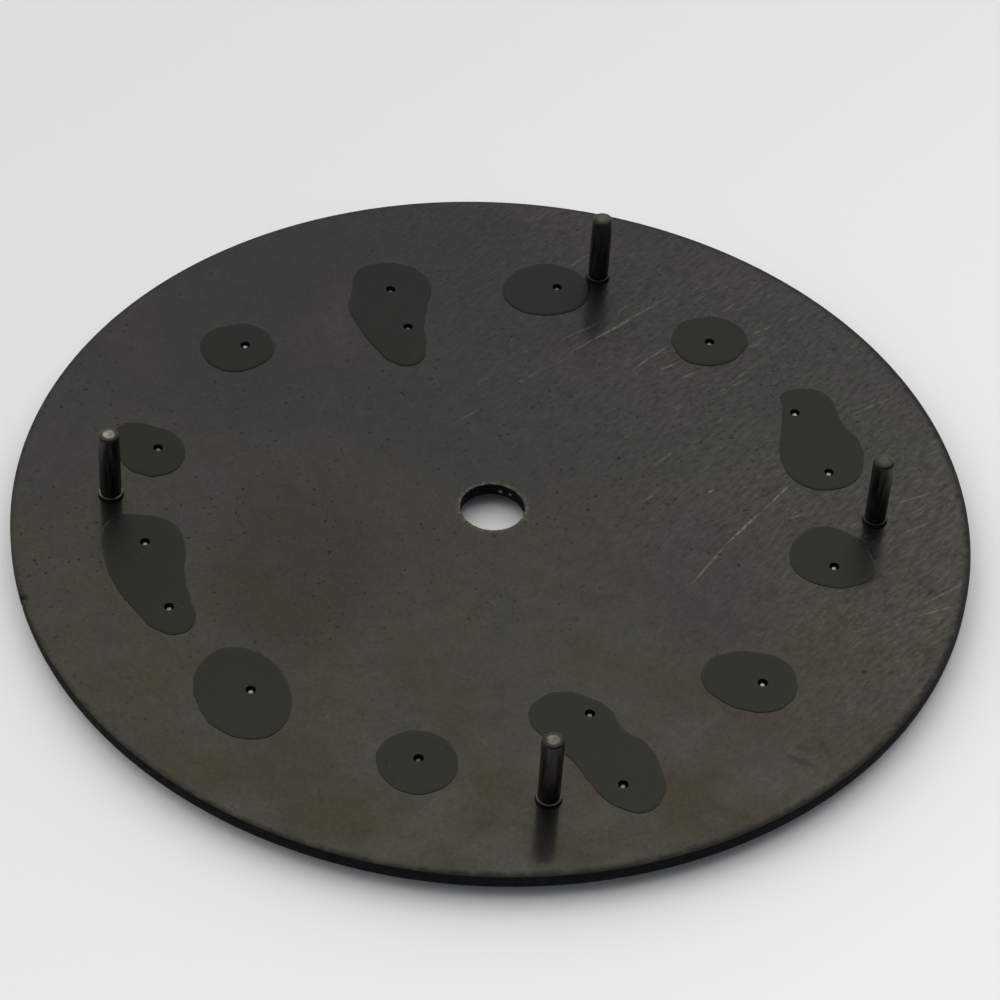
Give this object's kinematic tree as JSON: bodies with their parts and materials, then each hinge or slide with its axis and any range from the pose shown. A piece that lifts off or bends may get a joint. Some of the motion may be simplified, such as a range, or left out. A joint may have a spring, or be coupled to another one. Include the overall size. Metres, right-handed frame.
{
  "type": "watch dial",
  "caption": "Round watch dial lying face down: thin dark plated disc with centre hole, tall dial feet, and adhesive spots over the pins of its applied hour markers.",
  "frame": {"origin": "on the axis of the centre hole, in the plane of the dial's back", "axes": "+Z away from the back, along the feet; +Y towards 12 o'clock; seen from the face, 3 o'clock is on -X"},
  "size_m": [0.0285, 0.0284, 0.0034],
  "materials": {
    "plate": "brass disc plated dark, satin and worn on the back, matte black lacquer on the face",
    "foot": "dark plated pin, bright copper colour where the tip and shoulder are worn",
    "marker": "polished bright plating",
    "lume": "matte luminous paste, pale green cream",
    "adhesive": "smooth clear lacquer drop over the dark plating",
    "print": "pad printed ink"
  },
  "bodies": {
    "root": {"dial_plate": "plate", "dial_foot_1": "foot", "dial_foot_2": "foot", "dial_foot_3": "foot", "dial_foot_4": "foot", "hour_marker_01": "marker", "hour_marker_02": "marker", "hour_marker_03": "marker", "hour_marker_04": "marker", "hour_marker_05": "marker", "hour_marker_06": "marker", "hour_marker_07": "marker", "hour_marker_08": "marker", "hour_marker_09": "marker", "hour_marker_10": "marker", "hour_marker_11": "marker", "hour_marker_12": "marker", "lume_fill_01": "lume", "lume_fill_02": "lume", "lume_fill_03": "lume", "lume_fill_04": "lume", "lume_fill_05": "lume", "lume_fill_06": "lume", "lume_fill_07": "lume", "lume_fill_08": "lume", "lume_fill_09": "lume", "lume_fill_10": "lume", "lume_fill_11": "lume", "lume_fill_12": "lume", "adhesive_spot_01": "adhesive", "adhesive_spot_02": "adhesive", "adhesive_spot_03": "adhesive", "adhesive_spot_04": "adhesive", "adhesive_spot_05": "adhesive", "adhesive_spot_06": "adhesive", "adhesive_spot_07": "adhesive", "adhesive_spot_08": "adhesive", "adhesive_spot_09": "adhesive", "adhesive_spot_10": "adhesive", "adhesive_spot_11": "adhesive", "adhesive_spot_12": "adhesive", "minute_track": "print"}
  },
  "joints": []
}
